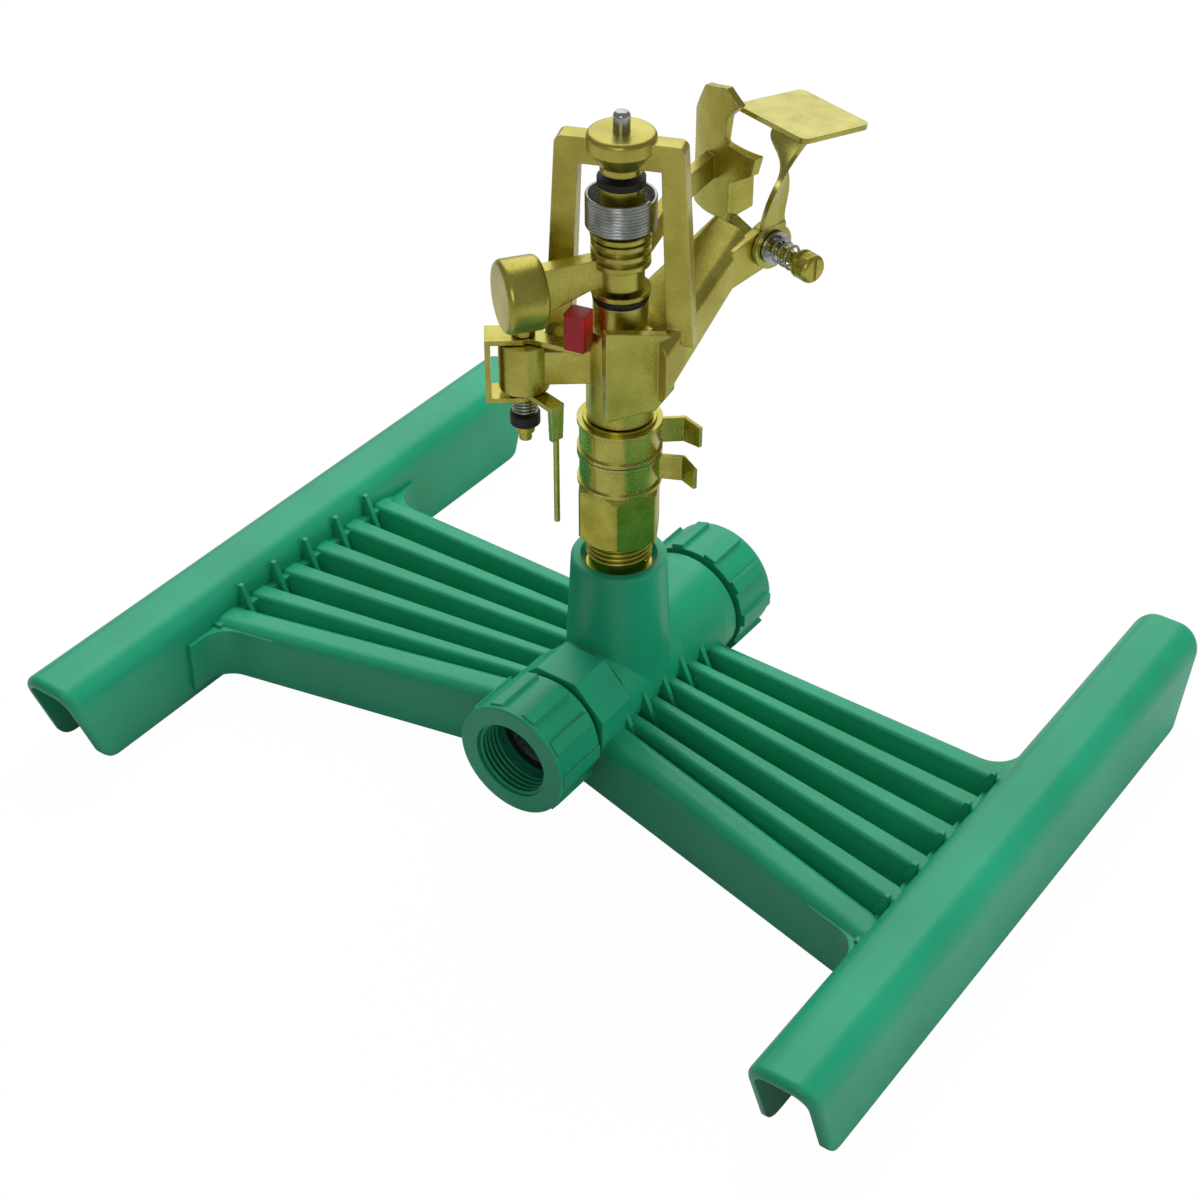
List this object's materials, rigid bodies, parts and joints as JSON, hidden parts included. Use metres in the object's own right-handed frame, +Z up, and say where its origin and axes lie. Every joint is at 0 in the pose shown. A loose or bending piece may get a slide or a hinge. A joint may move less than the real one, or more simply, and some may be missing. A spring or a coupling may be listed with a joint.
{
  "type": "circular sprinkler",
  "caption": "Part-circle impact sprinkler on an H-shaped sled base: hose inlet, threaded riser, trip collars, nozzle, sprung drive arm and jet deflector flap.",
  "frame": {"origin": "on the ground under the riser axis, at the middle of the footprint", "axes": "+X across the sled, -Y towards the hose inlet, +Z up"},
  "size_m": [0.301, 0.244, 0.225],
  "materials": {
    "base_plastic": "moulded polypropylene",
    "cast_brass": "as cast and tumbled",
    "turned_brass": "turned",
    "sheet_brass": "stamped sheet",
    "steel": "bright drawn",
    "black_rubber": "moulded",
    "white_plastic": "acetal",
    "red_plastic": "moulded"
  },
  "bodies": {
    "base": {"centre_moulding": "base_plastic", "left_runner": "base_plastic", "right_runner": "base_plastic", "hose_washer": "black_rubber", "filter_screen": "steel", "end_cap_seal": "black_rubber", "bearing_nipple": "turned_brass"},
    "nut": {"inlet_nut": "base_plastic"},
    "rear_cap": {"end_cap": "base_plastic"},
    "lower_collar": {"lower_trip_collar": "sheet_brass"},
    "upper_collar": {"upper_trip_collar": "sheet_brass"},
    "head": {"sprinkler_body": "cast_brass", "bearing_sleeve": "turned_brass", "lower_bearing_washer": "black_rubber", "upper_bearing_washer": "white_plastic", "nozzle": "turned_brass", "fulcrum_pin": "steel", "fulcrum_seal_ring": "black_rubber", "lower_thrust_washer": "turned_brass", "spring_spool": "turned_brass", "arm_spring": "steel", "spring_buffer": "black_rubber", "pivot_rod": "turned_brass", "rubber_tip": "black_rubber", "pivot_nut": "turned_brass", "trigger_spring": "steel"},
    "arm": {"drive_arm": "cast_brass", "arm_bush": "white_plastic"},
    "flap": {"deflector_flap": "sheet_brass"},
    "clamp_screw": {"deflector_screw": "turned_brass", "deflector_washer": "steel", "deflector_spring": "steel"},
    "trigger": {"reverse_trigger": "sheet_brass", "bumper": "red_plastic"},
    "trip": {"trip_lever": "sheet_brass"}
  },
  "joints": [
    {"name": "head_turn", "type": "hinge", "parent": "base", "child": "head", "pos_m": [0, 0, 0.13], "axis": [0, 0, 1], "range_deg": [-190, 115]},
    {"name": "arm_swing", "type": "hinge", "parent": "head", "child": "arm", "pos_m": [0, 0, 0.179], "axis": [0, 0, 1], "range_deg": [-8, 70], "stiffness_Nm_per_rad": 0.02},
    {"name": "lower_collar_turn", "type": "hinge", "parent": "base", "child": "lower_collar", "pos_m": [0, 0, 0.108], "axis": [0, 0, 1], "range_deg": [-100, 150]},
    {"name": "upper_collar_turn", "type": "hinge", "parent": "base", "child": "upper_collar", "pos_m": [0, 0, 0.12], "axis": [0, 0, 1], "range_deg": [-100, 150]},
    {"name": "trip_swing", "type": "hinge", "parent": "head", "child": "trip", "pos_m": [-0.0225, -0.0175, 0.136], "axis": [0, 0, 1], "range_deg": [-12, 0]},
    {"name": "trigger_swing", "type": "hinge", "parent": "head", "child": "trigger", "pos_m": [-0.0225, -0.0175, 0.154], "axis": [0, 0, 1], "range_deg": [-18, 0]},
    {"name": "flap_tilt", "type": "hinge", "parent": "head", "child": "flap", "pos_m": [0.02332, 0.04325, 0.1715], "axis": [0.9613, -0.2756, 0], "range_deg": [-25, 4]},
    {"name": "screw_turn", "type": "hinge", "parent": "head", "child": "clamp_screw", "pos_m": [0.02332, 0.04325, 0.1715], "axis": [0.9613, -0.2756, 0], "continuous": true},
    {"name": "nut_turn", "type": "hinge", "parent": "base", "child": "nut", "pos_m": [0, -0.045, 0.028], "axis": [0, 1, 0], "continuous": true},
    {"name": "cap_turn", "type": "hinge", "parent": "base", "child": "rear_cap", "pos_m": [0, 0.05, 0.028], "axis": [0, 1, 0], "continuous": true}
  ],
  "couplings": [
    {"joint": "trigger_swing", "follows": "trip_swing", "ratio": 1.5}
  ]
}
